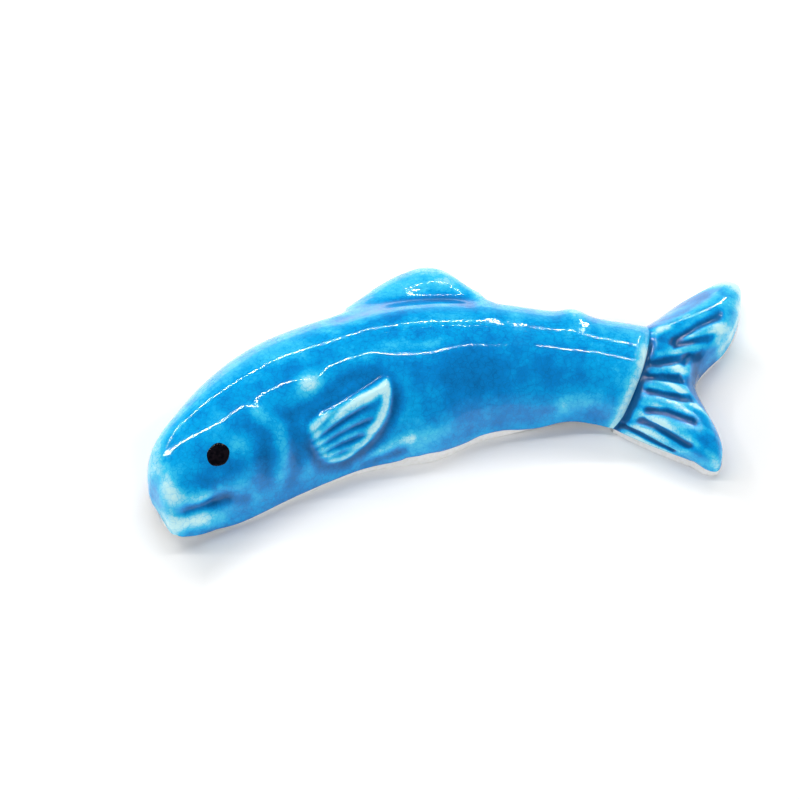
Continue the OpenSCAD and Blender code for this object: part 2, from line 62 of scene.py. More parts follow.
# Outline along the body: share of its length, share of its size
CREST_AT = 0.56
BELLY = [[0, 0.05], [0.008, 0.43], [0.02, 0.53], [0.045, 0.62], [0.09, 0.77], [0.16, 0.96], [0.24, 1.05],
         [0.32, 1.1], [0.42, 1.14], [0.5, 1.21], [0.58, 1.26], [0.63, 1.21], [0.7, 1.05], [0.77, 0.95],
         [0.85, 0.85], [0.93, 0.71], [1, 0.7]]
BACK = [[0, 0.05], [0.01, 0.19], [0.035, 0.34], [0.07, 0.45], [0.12, 0.56], [0.2, 0.75], [0.3, 0.93],
        [0.4, 0.97], [0.48, 0.95], [0.56, 0.93], [0.66, 0.9], [0.76, 0.84], [0.86, 0.78], [0.93, 0.77],
        [1, 0.82]]
CREST = [[0, 0.34], [0.012, 0.56], [0.035, 0.71], [0.07, 0.81], [0.12, 0.88], [0.22, 0.95], [0.36, 1],
         [0.52, 1], [0.64, 0.95], [0.76, 0.85], [0.86, 0.74], [0.94, 0.68], [1, 0.65]]
LIFT = [[0, 0.24], [0.03, 0.13], [0.08, 0.05], [0.14, 0], [0.74, 0], [0.82, 0.02], [0.89, 0.09],
        [0.95, 0.06], [1, 0]]
BARE = [[0, 0.1], [0.1, 0.15], [0.18, 0.45], [0.3, 0.65], [0.45, 1], [0.54, 1.2], [0.62, 1.2], [0.7, 0.9],
        [0.8, 0.6], [0.87, 0.2], [0.95, 0.1], [1, 0.5]]

# The dorsal fin: its reach from the back, its span along the body, and its seam at the ends and the middle
DORSAL = [[0, 0], [0.12, 0.05], [0.3, 0.36], [0.45, 0.69], [0.56, 0.89], [0.66, 1.0], [0.75, 0.88],
          [0.85, 0.43], [0.93, 0.16], [1, 0]]
DORSAL_SPAN = (0.43, 0.76)
DORSAL_SEAM = (1.15, 0.7)
# The small fin before the tail: its place and half its length
ADIPOSE_AT, ADIPOSE_HALF = 0.885, 0.022

# The tail's edge from the lower to the upper tip: place, reach backwards, reach sideways
TAIL = [[-1, 0.79, -0.34], [-0.95, 0.93, -0.367], [-0.86, 1.03, -0.355], [-0.72, 1.04, -0.3],
        [-0.5, 0.97, -0.225], [-0.25, 0.84, -0.135], [-0.05, 0.71, -0.045], [0.08, 0.655, 0.02],
        [0.22, 0.65, 0.11], [0.4, 0.715, 0.195], [0.6, 0.83, 0.305], [0.8, 0.885, 0.445],
        [0.92, 0.87, 0.58], [0.97, 0.82, 0.662], [1, 0.69, 0.69]]
# How far its edges bow, how square it is across and at its end, and the share of the coat its root stands out
TAIL_BOW, ACROSS_POWER, END_POWER, ROOT_OUT = 0.8, 5, 10, 0.75
# The coat's run down the tail's end, as a share of the height above RUN_END
RUN_DOWN, RUN_END = 0.75, 0.15

# The cross section: how square the flank and the dorsal pad are, the pad's middle and its inner reach, and
# where along the body the lip starts to bulge
FLANK_POWER, PAD_POWER, PAD_MIDDLE, PAD_INNER, LIP_FROM = 2.15, 2.2, 0.57, 1.05, 0.8
# The snout: its flat front, squareness and chin, its lean at the belly and the back, and where these end
SNUB, BLUNT, CHIN = 0.55, 1.0, 0.2
LEAN_BELLY, LEAN_BACK = 0.45, 0.65
HEAD_END, SNUB_END = 0.3, 0.06

# The pectoral fin's place, its turn in degrees and its outline in shares of its length and width
PECTORAL_AT, PECTORAL_TILT = (0.312, -0.485), 10
PECTORAL = [[0.02, 0.04], [0.16, -0.01], [0.29, 0.02], [0.46, 0.04], [0.64, 0.04], [0.83, 0.02],
            [0.98, -0.01], [1, 0.1], [0.96, 0.29], [0.865, 0.53], [0.72, 0.74], [0.55, 0.9], [0.41, 0.97],
            [0.255, 1], [0.09, 0.91], [-0.02, 0.72], [-0.04, 0.46], [-0.035, 0.3]]
BOSS_AT, EYE_AT = (0.352, -0.225), (0.131, -0.37)

# Pressed lines: depth (negative stands proud), half width, places on the body or the tail
BODY_LINES = [
    (0.2, 0.7, [[0.03, -0.69], [0.055, -0.715], [0.085, -0.72], [0.118, -0.715]]),
    (0.14, 0.4, [[0.045, -0.705], [0.07, -0.718], [0.095, -0.722]]),
    (0.16, 0.8, [[0.09, -0.725], [0.125, -0.74], [0.15, -0.79]]),
    (-0.16, 0.9, [[0.022, -0.36], [0.032, -0.5], [0.045, -0.58], [0.085, -0.63]]),
    (-0.12, 0.9, [[0.015, -0.8], [0.05, -0.84], [0.1, -0.87]]),
    (0.17, 1.4, [[0.2, -0.33], [0.212, -0.45], [0.207, -0.6], [0.19, -0.74]]),
    (0.28, 1.3, [[0.29, -0.4], [0.281, -0.53], [0.268, -0.66], [0.245, -0.82]]),
    (-0.12, 1.1, [[0.232, -0.25], [0.25, -0.4], [0.246, -0.54], [0.226, -0.74]]),
    (0.22, 1.3, [[0.32, -0.365], [0.385, -0.33], [0.44, -0.29], [0.49, -0.275]]),
    (0.26, 1.6, [[0.48, 0.32], [0.55, 0.28], [0.62, 0.26], [0.7, 0.29]]),
    (-0.16, 0.9, [[0.4, -0.9], [0.45, -0.855], [0.49, -0.81], [0.535, -0.78]]),
    (0.12, 0.8, [[0.42, -0.96], [0.47, -0.92], [0.515, -0.88]]),
]
TAIL_LINES = [
    (0.4, 0.72, [[0.1, -0.02], [0.4, 0.075], [0.74, 0.15]]),
    (0.24, 0.9, [[0.74, 0.15], [0.9, 0.205]]),
    (0.42, 0.66, [[0.12, -0.185], [0.38, -0.075], [0.66, -0.02]]),
    (0.4, 0.62, [[0.18, -0.35], [0.42, -0.285], [0.7, -0.185]]),
    (0.42, 0.68, [[0.24, -0.57], [0.41, -0.495], [0.67, -0.447]]),
    (0.46, 0.64, [[0.22, -0.7], [0.42, -0.71], [0.72, -0.727]]),
    (0.4, 0.5, [[0.06, -0.86], [0.37, -0.895], [0.72, -0.91]]),
    (0.3, 0.7, [[0.48, 0.255], [0.68, 0.315], [0.84, 0.36]]),
    (0.34, 0.85, [[0.4, 0.3], [0.59, 0.445], [0.78, 0.54]]),
    (0.3, 0.75, [[0.04, -1], [0.04, 0.2]]),
    (-0.14, 0.9, [[0.4, 0.0], [0.66, 0.065], [0.82, 0.085]]),
    (-0.18, 0.8, [[0.34, -0.23], [0.54, -0.155], [0.68, -0.12]]),
    (-0.14, 0.9, [[0.7, -0.22], [0.84, -0.28]]),
    (-0.12, 0.7, [[0.3, -0.65], [0.58, -0.6]]),
    (-0.12, 0.9, [[0.1, 0.36], [0.36, 0.52], [0.58, 0.65], [0.72, 0.74]]),
]
# Rays of the pectoral fin: turn in degrees about their centre, and how far along the fin they reach
RAY_CENTRE = (-0.83, 0.33)
RAYS = [(-5.2, 0.5), (-0.6, 0.7), (4.2, 0.76), (8.8, 0.66), (13.2, 0.42)]
RAY_DEPTH, RAY_HALF = 0.26, 0.27
WEB_DEPTH, MOAT_DEPTH, MOAT_HALF = 0.2, 0.15, 0.9

# Light and dark places of the glaze: place, spread in millimetres along and across, and strength. Most are
# the glaze pooling darker and breaking paler; the pale band along the upper flank at 0.6, -0.14 is a painted
# highlight
BODY_TONES = [
    (0.03, -0.42, 1.5, 2.6, 0.1), (0.035, -0.1, 0.9, 3.4, 0.16), (0.05, -0.84, 3.2, 1.1, 0.36),
    (0.17, -0.12, 3.6, 1.6, 0.12), (0.111, -0.615, 0.45, 0.45, 0.2), (0.175, -0.38, 1.8, 1.6, 0.1),
    (0.24, -0.22, 2.2, 1.0, 0.06), (0.47, -0.62, 2.2, 3.0, 0.12), (0.53, -0.72, 2.6, 1.8, 0.12),
    (0.95, -0.2, 2.6, 3.0, 0.1), (0.358, -0.24, 2.2, 1.8, 0.2), (0.545, -0.8, 2.4, 1.2, 0.16),
    (0.61, -0.77, 2.2, 1.2, 0.14), (0.89, -0.76, 1.6, 1.4, 0.22), (0.925, -0.66, 2.4, 1.8, 0.2),
    (0.12, -0.52, 2.2, 1.4, -0.1), (0.21, -0.62, 2.4, 2.2, -0.1), (0.45, -0.28, 2.4, 0.7, -0.06),
    (0.68, -0.42, 6.5, 3.2, -0.16), (0.85, -0.3, 3.0, 1.6, -0.06), (0.6, 0.24, 5.0, 1.1, -0.16),
    (0.7, 0.2, 2.6, 1.2, -0.2), (0.56, 0.1, 3.6, 0.9, -0.22), (0.6, -0.14, 5.0, 0.8, 0.18),
    (0.76, 0.0, 3.4, 0.8, 0.1), (0.63, 0.8, 3.2, 1.2, 0.14), (0.27, -0.95, 9.0, 1.0, -0.08),
    (0.8, 0.6, 4.0, 2.0, 0.06), (0.36, 0.1, 3.5, 2.0, 0.08), (0.5, -0.9, 1.0, 0.8, -0.14),
]
TAIL_TONES = [
    (0.64, 0.06, 1.6, 0.6, 0.4), (0.52, -0.16, 1.4, 0.55, 0.44), (0.76, -0.24, 1.4, 0.7, 0.36),
    (0.3, -0.5, 0.9, 0.7, 0.2), (0.4, -0.64, 2.0, 0.5, 0.3), (0.35, -0.8, 2.4, 0.5, 0.3),
    (0.86, 0.42, 1.1, 1.1, 0.34), (0.16, 0.4, 1.4, 0.7, 0.26), (0.4, 0.58, 2.4, 0.6, 0.26),
    (1.0, 0.9, 2.8, 2.2, 0.52), (1.0, 0.55, 1.0, 3.0, 0.26), (0.9, -0.85, 1.6, 1.2, 0.2),
    (0.4, -0.97, 4.5, 0.5, 0.26), (0.93, 0.14, 1.0, 1.2, -0.18), (0.5, 0.86, 3.4, 0.5, -0.16),
    (0.97, -0.38, 0.9, 1.0, -0.14), (0.6, 0.38, 1.8, 0.5, -0.12), (0.12, -0.2, 1.2, 4.0, -0.06),
    (0.8, -0.6, 1.2, 1.0, -0.16), (0.88, -0.1, 1.3, 1.6, -0.14), (0.75, -0.75, 2.0, 0.8, -0.1),
]


def follow(table, t):
    """A smooth line through pairs of place and share."""
    x = np.array([a[0] for a in table], float)
    y = np.array([a[1] for a in table], float)
    n = len(x)
    before = np.maximum(np.arange(n) - 1, 0)
    after = np.minimum(np.arange(n) + 1, n - 1)
    m = (y[after] - y[before]) / (x[after] - x[before])
    t = np.clip(t, x[0], x[-1])
    i = np.clip(np.searchsorted(x, t, side="right") - 1, 0, n - 2)
    h = x[i + 1] - x[i]
    s = (t - x[i]) / h
    return ((2 * s**3 - 3 * s**2 + 1) * y[i] + (s**3 - 2 * s**2 + s) * h * m[i]
            + (3 * s**2 - 2 * s**3) * y[i + 1] + (s**3 - s**2) * h * m[i + 1])


def ramp(x, a, b):
    """0 at a, 1 at b, and smooth between."""
    k = np.clip((x - a) / (b - a), 0, 1)
    return k * k * (3 - 2 * k)


def hill(x, w):
    """A bell of height 1 and half width w."""
    return np.exp(-((x / w) ** 2))


def arch(x, power):
    """From 1 in the middle to 0 at the ends, squarer with a higher power."""
    return np.sqrt(np.maximum(0, 1 - np.minimum(1, np.abs(x)) ** power))


def unit(p):
    return p / np.maximum(np.linalg.norm(p, axis=-1, keepdims=True), 1e-9)


def vec(x, y, z):
    return np.stack(np.broadcast_arrays(x, y, z), -1)


def flat(p, z=0.0):
    """The same places in plan at height z."""
    return vec(p[..., 0], p[..., 1], z)


# The bent axis
def bend(t):
    """The axis's turn at a share of its length, in radians."""
    return (t - CREST_AT) * BODY_L / BEND_R


def axis(t):
    a, b = bend(t), bend(0)
    return vec(BEND_R * (np.sin(a) - np.sin(b)), BEND_R * (np.cos(a) - np.cos(b)), 0)


def forward(t):
    a = bend(t)
    return vec(np.cos(a), -np.sin(a), 0)


def sideways(t):
    a = bend(t)
    return vec(np.sin(a), np.cos(a), 0)


def along_dorsal(t):
    return (t - DORSAL_SPAN[0]) / (DORSAL_SPAN[1] - DORSAL_SPAN[0])


def sizes(t):
    """Belly, back, crest, lift, glaze line and the reach of the fins on the back."""
    belly, back = BODY_W / 2 * follow(BELLY, t), BODY_W / 2 * follow(BACK, t)
    crest = BODY_H * follow(CREST, t)
    lift = BODY_H * np.maximum(0, follow(LIFT, t))
    low = lift + GLAZE_GAP * follow(BARE, t)
    out = DORSAL_OUT * np.maximum(0, follow(DORSAL, along_dorsal(t)))
    out = out + ADIPOSE_OUT * hill(t - ADIPOSE_AT, ADIPOSE_HALF)
    return belly, back, crest, lift, low, out


def girth(t):
    """The skin's length from the belly's rim to the crest, in millimetres."""
    belly, _, crest, _, low, _ = sizes(t)
    return (belly + crest - low) * math.pi / 4


def body_plain(t, v):
    """The body without relief: t runs from snout to lip, v from the belly's rim to the back's."""
    belly, back, crest, lift, low, out = sizes(t)
    s = np.sin(v * math.pi / 2)
    q = np.where(v < 0, belly, back + out) * s
    head = np.maximum(0, 1 - t / HEAD_END) ** 2
    power = FLANK_POWER + BLUNT * head
    flank = low + (crest - low) * arch(q / np.where(v < 0, belly, back), power)
    middle = PAD_MIDDLE * (back + out)
    across = (q - middle) / np.where(q < middle, PAD_INNER * middle, back + out - middle)
    pad = low + (DORSAL_H - low) * arch(across, PAD_POWER)
    both = (flank + pad + np.hypot(flank - pad, DORSAL_BLEND)) / 2
    fin = np.minimum(1, 4 * out / DORSAL_OUT)
    chin = CHIN * np.minimum(q, 0) ** 2 / (BODY_W / 2)
    lean = head * (np.where(q < 0, LEAN_BELLY, LEAN_BACK) * q - chin)
    lean = lean + SNUB * np.maximum(0, 1 - t / SNUB_END) ** 2
    lip = LIP_BULGE * ramp(t, LIP_FROM, 1) * np.sqrt(np.maximum(0, 1 - s * s))
    plan = axis(t) + q[..., None] * sideways(t) + (lean + lip)[..., None] * forward(t)
    return flat(plan, np.where(v > 0, flank + fin * np.maximum(0, both - flank), flank))


ROOT_H = BODY_H * CREST[-1][1] - LIP_DROP
EDGE_X = [[a[0], a[1] * TAIL_L] for a in TAIL]
EDGE_Y = [[a[0], a[2] * TAIL_W] for a in TAIL]


def tail_plain(w, v):
    """The tail without relief: w runs from the lip to the edge, v from the lower to the upper tip."""
    s = np.sin(v * math.pi / 2)
    one = np.ones_like(v)
    root = body_plain(one, v) + ROOT_OUT * GLAZE_T * forward(one)
    edge = axis(one) + follow(EDGE_X, s)[..., None] * forward(one)
    edge = edge + follow(EDGE_Y, s)[..., None] * sideways(one)
    bow = TAIL_BOW * 4 * w * (1 - w) * (ramp(s, 0.3, 1) - 0.3 * ramp(-s, 0.3, 1))
    plan = root + (edge - root) * w[..., None] + bow[..., None] * sideways(one)
    low = GLAZE_GAP * (0.5 + np.where(v < 0, 0.45, 0.3) * w)
    crest = ROOT_H + (TAIL_EDGE_H - ROOT_H) * w + TIP_RISE * w * w * s * s
    top = low + (crest - low) * arch(s, ACROSS_POWER) * arch(w, END_POWER)
    end = body_plain(one, v)[..., 2]
    start = end - np.minimum(LIP_DROP * ramp(v, 0.5, 0.1), 0.45 * (end - low))
    return flat(plan, start + (top - start) * ramp(w, -0.05, 0.4))


def to_line(x, y, line, closed=False):
    """Distance to a line of points, all in millimetres."""
    far = np.full(np.shape(x), 1e9)
    ends = line + line[:1] if closed else line
    for a, b in zip(ends, ends[1:]):
        dx, dy = b[0] - a[0], b[1] - a[1]
        k = np.clip(((x - a[0]) * dx + (y - a[1]) * dy) / (dx * dx + dy * dy), 0, 1)
        far = np.minimum(far, np.hypot(x - a[0] - k * dx, y - a[1] - k * dy))
    return far


def rounded(points, parts):
    """A closed line through points with round corners."""
    p = np.array(points, float)
    a, b, c, d = (np.roll(p, k, 0) for k in (1, 0, -1, -2))
    out = []
    for k in np.arange(parts) / parts:
        curve = (2 * a - 5 * b + 4 * c - d) * k**2 + (3 * b - a - 3 * c + d) * k**3
        out.append(0.5 * (2 * b + (c - a) * k + curve))
    return np.stack(out, 1).reshape(-1, 2).tolist()


PECTORAL_MM = rounded([[a[0] * PECTORAL_L, a[1] * PECTORAL_W] for a in PECTORAL], 3)
TILT_COS, TILT_SIN = math.cos(math.radians(PECTORAL_TILT)), math.sin(math.radians(PECTORAL_TILT))


def tilted(x, y):
    """Turns places from the body's directions to the pectoral fin's, or back."""
    return x * TILT_COS + y * TILT_SIN, x * TILT_SIN - y * TILT_COS


def on_pectoral(t, v, wide):
    return tilted((t - PECTORAL_AT[0]) * BODY_L, (v - PECTORAL_AT[1]) * wide)


def inside_pectoral(a, b):
    """How far inside the fin's outline a point is, in millimetres, negative outside."""
    hit = np.zeros(np.shape(a), bool)
    for p, q in zip(PECTORAL_MM, PECTORAL_MM[1:] + PECTORAL_MM[:1]):
        if p[1] != q[1]:
            between = (p[1] > b) != (q[1] > b)
            hit ^= between & (a < p[0] + (q[0] - p[0]) * (b - p[1]) / (q[1] - p[1]))
    return np.where(hit, 1, -1) * to_line(a, b, PECTORAL_MM, closed=True)


def pectoral_relief(t, v, wide):
    a, b = on_pectoral(t, v, wide)
    d = inside_pectoral(a, b)
    x, y = a - RAY_CENTRE[0] * PECTORAL_L, b - RAY_CENTRE[1] * PECTORAL_W
    turn, far = np.degrees(np.arctan2(y, x)), np.hypot(x, y)
    rise = PECTORAL_RISE * ramp(d, -0.6, 0.75)
    # thick upper edge and lower right rim, and a hollow web between
    rise = rise - WEB_DEPTH * ramp(d, 0.6, 1.6) * ramp(a, 0.5, 3.5) * ramp(b, 0.9, 2.2)
    for ray, reach in RAYS:
        side = np.radians(turn - ray) * far
        tip = ramp(a, (reach + 0.1) * PECTORAL_L, (reach - 0.25) * PECTORAL_L)
        rise = rise - RAY_DEPTH * hill(side, RAY_HALF) * ramp(d, -0.3, 0.3) * tip
    moat = MOAT_DEPTH * hill(d + 0.8, MOAT_HALF) * ramp(b, 0.0, 3)
    return rise - moat


GOLDEN_TURN = 2.39996


def wobble(x, y, wave, seed):
    """A smooth unevenness between -1 and 1, as a hand-pressed surface has."""
    out = np.zeros(np.shape(x))
    for k in range(9):
        a = seed + k * GOLDEN_TURN
        f = 2 * math.pi / (wave * (0.7 + 0.09 * k))
        out = out + np.sin(f * (math.cos(a) * x + math.sin(a) * y) + 1.7 * a * k)
    return out / 4.5


def pressed(u, v, lines, long, wide):
    """Relief of pressed lines, in millimetres."""
    x, y = u * long, v * wide
    out = np.zeros(np.shape(x))
    for deep, width, line in lines:
        out = out - deep * hill(to_line(x, y, [[a[0] * long, a[1] * wide] for a in line]), width)
    return out


def body_relief(t, v):
    wide = girth(t)
    r = np.hypot((t - BOSS_AT[0]) * BODY_L, (v - BOSS_AT[1]) * wide)
    return pressed(t, v, BODY_LINES, BODY_L, wide) + BOSS_H * hill(r, BOSS_R) + pectoral_relief(t, v, wide)


def tail_relief(w, v):
    return pressed(w, v, TAIL_LINES, TAIL_L, TAIL_W / 2) * ramp(w, 1, 0.86)


def tone_at(u, v, spots, long, wide):
    """Light and dark places, one soft spot each."""
    out = np.zeros(np.shape(u))
    for a, b, x, y, k in spots:
        out = out + k * np.exp(-(((u - a) * long / x) ** 2) - (((v - b) * wide / y) ** 2))
    return out


def blurred(p, n):
    """Evens out rows and columns n times."""
    for _ in range(n):
        for ax in (0, 1):
            q = np.concatenate([np.take(p, [0], ax), p, np.take(p, [-1], ax)], ax)
            size = p.shape[ax]
            p = (np.take(q, range(size), ax) + 2 * p + np.take(q, range(2, size + 2), ax)) / 4
    return p


def normals_of(p):
    """Normals of a grid of points."""
    return unit(np.cross(np.gradient(p, axis=0), np.gradient(p, axis=1)))


def body_normals(t, v):
    """Normals of the plain body at any places."""
    e = 1e-3
    along = body_plain(t + e, v) - body_plain(t - e, v)
    across = body_plain(t, v + e) - body_plain(t, v - e)
    return unit(np.cross(along, across))


def from_rim(v):
    """Rough distance to the nearer rim, in millimetres."""
    return np.minimum(np.abs(v + 1), np.abs(v - 1)) * RIM_SPAN


# The glaze's grid: rows from snout to fork, denser at the snout, and columns from belly to back
ROWS_BODY, ROWS_LIP, ROWS_TAIL, COLUMNS = 380, 8, 120, 220
TAIL_START = ROWS_BODY + ROWS_LIP + 1
SNOUT_PART, SNOUT_DENSE = 0.1, 1.7
even_t = np.linspace(0, 1, ROWS_BODY + 1)
rows_t = np.where(even_t < SNOUT_PART, SNOUT_PART * (even_t / SNOUT_PART) ** SNOUT_DENSE, even_t)
rows_w = np.sin(np.linspace(0, math.pi / 2, ROWS_TAIL + 1))
cols = np.linspace(-1, 1, COLUMNS + 1)

# The coat stops a little higher where it was wiped
WIPED = [[0, 0], [0.46, 0.0], [0.505, 0.004], [0.522, 0.025], [0.55, 0.028], [0.58, 0.035], [0.62, 0.025],
         [0.67, 0.012], [0.71, 0.03], [0.76, 0.035], [0.8, 0.01], [0.86, 0], [1, 0]]
WIPED_UNEVEN, WIPED_WAVE = 0.004, 5

# Millimetres over which the coat rounds off at its rims and at the tail's edge
ROUND_RIM, ROUND_END = 1.3, 0.5
# How many times the coat is evened out over the lip, and the rows that this reaches
LIP_EVENED, LIP_REACH = 14, 9.0
# Passes that show where the coat breaks and where it pools, and the most that each may tell
BREAK_PASSES, POOL_PASSES, STEP_PASSES = 24, 70, 4
BREAK_GAIN, BREAK_LOW, BREAK_HIGH, TAIL_GAIN = 2.6, -0.22, 0.28, 2.0
STEP_LOW, STEP_HIGH = -0.34, 0.36

# Strengths of the larger tones, among them painted light on the back, painted shade on its top edge and
# painted shade with pooled glaze behind the lip
FIN_RIM_TONE, FIN_EDGE_TONE, FIN_MOAT_TONE = 0.1, 0.13, -0.06
BACK_PAINTED_LIGHT, TOP_EDGE_PAINTED_SHADE, LIP_TONE, BEHIND_LIP_POOL_AND_SHADE = 0.19, -0.13, 0.45, -0.42
UPPER_LOBE_TONE, STREAK_TONE, TAIL_TONE = 0.02, 0.04, -0.05


def by_rows(body, lip, tail):
    """One number for each row of the body, the lip and the tail."""
    return np.concatenate([body, np.full(ROWS_LIP, float(lip)), tail])[:, None]


def glaze_places():
    """Places of the grid's points on the body and on the tail."""
    t = np.repeat(rows_t[:, None], COLUMNS + 1, 1)
    ragged = WIPED_UNEVEN * wobble(rows_t * BODY_L, 0, WIPED_WAVE, 1)
    edge = np.maximum(0, follow(WIPED, rows_t) + ragged)
    v = -1 + edge[:, None] + (cols[None, :] + 1) / 2 * (2 - edge[:, None])
    w = np.repeat(rows_w[:, None], COLUMNS + 1, 1)
    vt = np.repeat(cols[None, :], ROWS_TAIL + 1, 0)
    return t, v, w, vt


def glaze_skins(plain, relief, normal, rim):
    """The coat's outer and inner skin, thin and round at its rims."""
    nose = by_rows(ramp(rows_t, 0.09, 0.03), 0, np.zeros(ROWS_TAIL + 1))
    rim_in = np.maximum(np.clip(rim / ROUND_RIM, 0, 1), nose)
    end_in = by_rows(np.ones(ROWS_BODY + 1), 1, np.clip((1 - rows_w) * TAIL_L / ROUND_END, 0, 1))
    bulge = np.sqrt(1 - (1 - np.minimum(rim_in, end_in)) ** 2)
    thick = GLAZE_T * (RIM_THIN + (1 - RIM_THIN) * bulge)
    outer = plain + (relief + thick)[..., None] * normal
    # the coat rounds off the lip and fills its corner
    from_lip = np.arange(len(outer)) - ROWS_BODY - ROWS_LIP / 2
    near = hill(from_lip, LIP_REACH)[:, None, None]
    for _ in range(LIP_EVENED):
        even = outer.copy()
        even[1:-1] = (outer[:-2] + 2 * outer[1:-1] + outer[2:]) / 4
        outer = outer + (even - outer) * near
    inner = plain + (relief + UNDER_GLAZE)[..., None] * normal
    # round the end of the tail it has run down nearly to the table
    run = RUN_DOWN * ramp(rows_w, 0.986, 1)[:, None] * ramp(cols, -0.92, -0.6)[None, :]
    for skin in (outer, inner):
        height = skin[TAIL_START:, :, 2]
        height -= run * np.maximum(0, height - RUN_END)
    return outer, inner


def glaze_step(outer, relief, normal):
    """Where the coat breaks over an edge, above zero, or pools, below it."""
    edge_of = ((outer - blurred(outer, BREAK_PASSES)) * normal).sum(-1)
    pool = relief - blurred(relief, POOL_PASSES)
    ends = by_rows(hill((rows_t - 1) * BODY_L, 1.8), 1, hill(rows_w * TAIL_L, 1.2))
    step = pool + np.clip(BREAK_GAIN * edge_of, BREAK_LOW, BREAK_HIGH) * (1 - ends)
    step[TAIL_START:] *= TAIL_GAIN
    return np.clip(blurred(step, STEP_PASSES), STEP_LOW, STEP_HIGH)


def glaze_tone(t, v, w, vt):
    """Light and dark places of the coat, with painted light on the back and painted shade on its top edge and
    behind the lip.
    """
    a, b = on_pectoral(t, v, girth(t))
    d = inside_pectoral(a, b)
    body = tone_at(t, v, BODY_TONES, BODY_L, girth(t))
    # the pectoral fin's pale rim and upper edge, and the dark round it
    body = body + FIN_RIM_TONE * hill(d - 0.4, 0.6) * (0.4 + 0.6 * ramp(a, 3, 6))
    body = body + FIN_EDGE_TONE * hill(b - 0.7, 0.8) * ramp(d, -0.3, 0.6)
    body = body + FIN_MOAT_TONE * hill(d + 0.9, 0.8) * ramp(b, 0, 3)
    # painted light makes the back paler and painted shade darkens its top edge, and the glaze breaks pale
    # over the lip
    body = body + BACK_PAINTED_LIGHT * ramp(v, -0.2, 0.4) + TOP_EDGE_PAINTED_SHADE * ramp(v, 0.55, 0.9)
    body = body + LIP_TONE * np.exp(-((1 - t) * BODY_L / 0.6) ** 1.4) * ramp(v, 0.25, 0)
    # pooled glaze and painted shade under the lip's overhang darken the tail behind it, and streaks along the
    # tail
    upper = ramp(vt, -0.5, 0.05)
    behind = hill(w * TAIL_L - 0.6 - 0.5 * upper, 1.05 + 0.5 * upper) * ramp(vt, 0.3, 0.12)
    streak = np.sin(37 * vt + 2 * w) + np.sin(61 * vt - 3 * w + 1) + np.sin(23 * vt + 4)
    tail = tone_at(w, vt, TAIL_TONES, TAIL_L, TAIL_W / 2) + BEHIND_LIP_POOL_AND_SHADE * behind
    tail = tail + UPPER_LOBE_TONE * ramp(vt, 0.0, 0.5) + STREAK_TONE * streak + TAIL_TONE
    return np.concatenate([body, np.repeat(body[-1:], ROWS_LIP, 0), tail])


def glaze_grid():
    """The coat's outer and inner skin, and the two values that its colour goes by."""
    t, v, w, vt = glaze_places()
    body, tail = body_plain(t, v), tail_plain(w, vt)
    k = np.linspace(0, 1, ROWS_LIP + 2)[1:-1, None, None]
    lip = body[-1:] + (tail[:1] - body[-1:]) * k
    plain = np.concatenate([body, lip, tail])
    normal = normals_of(plain)
    first = np.zeros(COLUMNS + 1)
    normal[0] = unit(0.55 * sideways(first) - forward(first))
    rim = from_rim(cols)[None, :]
    fade = ramp(rim, 0, RIM_FADE)
    relief = np.concatenate([body_relief(t, v), np.zeros((ROWS_LIP, COLUMNS + 1)), tail_relief(w, vt)]) * fade
    uneven = UNEVEN * wobble(plain[..., 0], plain[..., 1] + plain[..., 2], UNEVEN_WAVE, 2)
    relief = relief + uneven * fade
    outer, inner = glaze_skins(plain, relief, normal, rim)
    return outer, inner, glaze_step(outer, relief, normal), glaze_tone(t, v, w, vt)


def grid_faces(rows, columns, at=0):
    i, j = np.meshgrid(np.arange(rows), np.arange(columns), indexing="ij")
    a = at + i * (columns + 1) + j
    b = a + columns + 1
    return np.stack([a, b, b + 1, a + 1], -1).reshape(-1, 4)


def strip(a, b):
    a, b = np.asarray(a), np.asarray(b)
    return np.stack([a[:-1], b[:-1], b[1:], a[1:]], -1)


def make(name, points, quads, fans, node, values=None):
    """A smooth closed mesh in place of a CAD node."""
    mesh = bpy.data.meshes.new(name)
    faces = [list(map(int, f)) for f in quads] + [list(map(int, f)) for f in fans]
    mesh.from_pydata(((np.asarray(points).reshape(-1, 3) - MIDDLE) * MM).tolist(), [], faces)
    mesh.validate()
    mesh.update()
    mesh.polygons.foreach_set("use_smooth", [True] * len(mesh.polygons))
    for key, value in (values or {}).items():
        layer = mesh.attributes.new(key, "FLOAT", "POINT")
        layer.data.foreach_set("value", np.asarray(value, np.float32).ravel())
    piece = bpy.data.objects.new(name, mesh)
    bpy.context.scene.collection.objects.link(piece)
    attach(piece, "root")
    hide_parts(node)
    return piece


outer, inner, step, tone = glaze_grid()
low, high = outer.reshape(-1, 3).min(0), outer.reshape(-1, 3).max(0)
MIDDLE = np.array([(low[0] + high[0]) / 2, (low[1] + high[1]) / 2, 0])


def glaze_piece():
    rows, wide = len(outer) - 1, COLUMNS
    n = (rows + 1) * (wide + 1)
    left = np.arange(rows + 1) * (wide + 1)
    right = left + wide
    end = rows * (wide + 1) + np.arange(wide + 1)
    nose = np.arange(wide + 1)
    quads = np.concatenate([
        grid_faces(rows, wide),
        grid_faces(rows, wide, n)[:, ::-1],
        strip(left + n, left),
        strip(right, right + n),
        strip(end + n, end)[:, ::-1],
        [[0, n, n + wide, wide]],
    ])
    fans = [nose.tolist(), (nose + n)[::-1].tolist()]
    points = np.concatenate([outer.reshape(-1, 3), inner.reshape(-1, 3)])
    values = {"step": np.concatenate([step.ravel()] * 2), "tone": np.concatenate([tone.ravel()] * 2)}
    return make("glaze", points, quads, fans, "glaze_coat", values)


# The clay's walls: places down each wall, how they roll in, and the most that a foot stands in, as a share
WALL_STEPS, WALL_ROLL, INSET_MOST = (0.35, 0.7, 0.9), 2.2, 0.4
CLAY_COLUMNS = 160


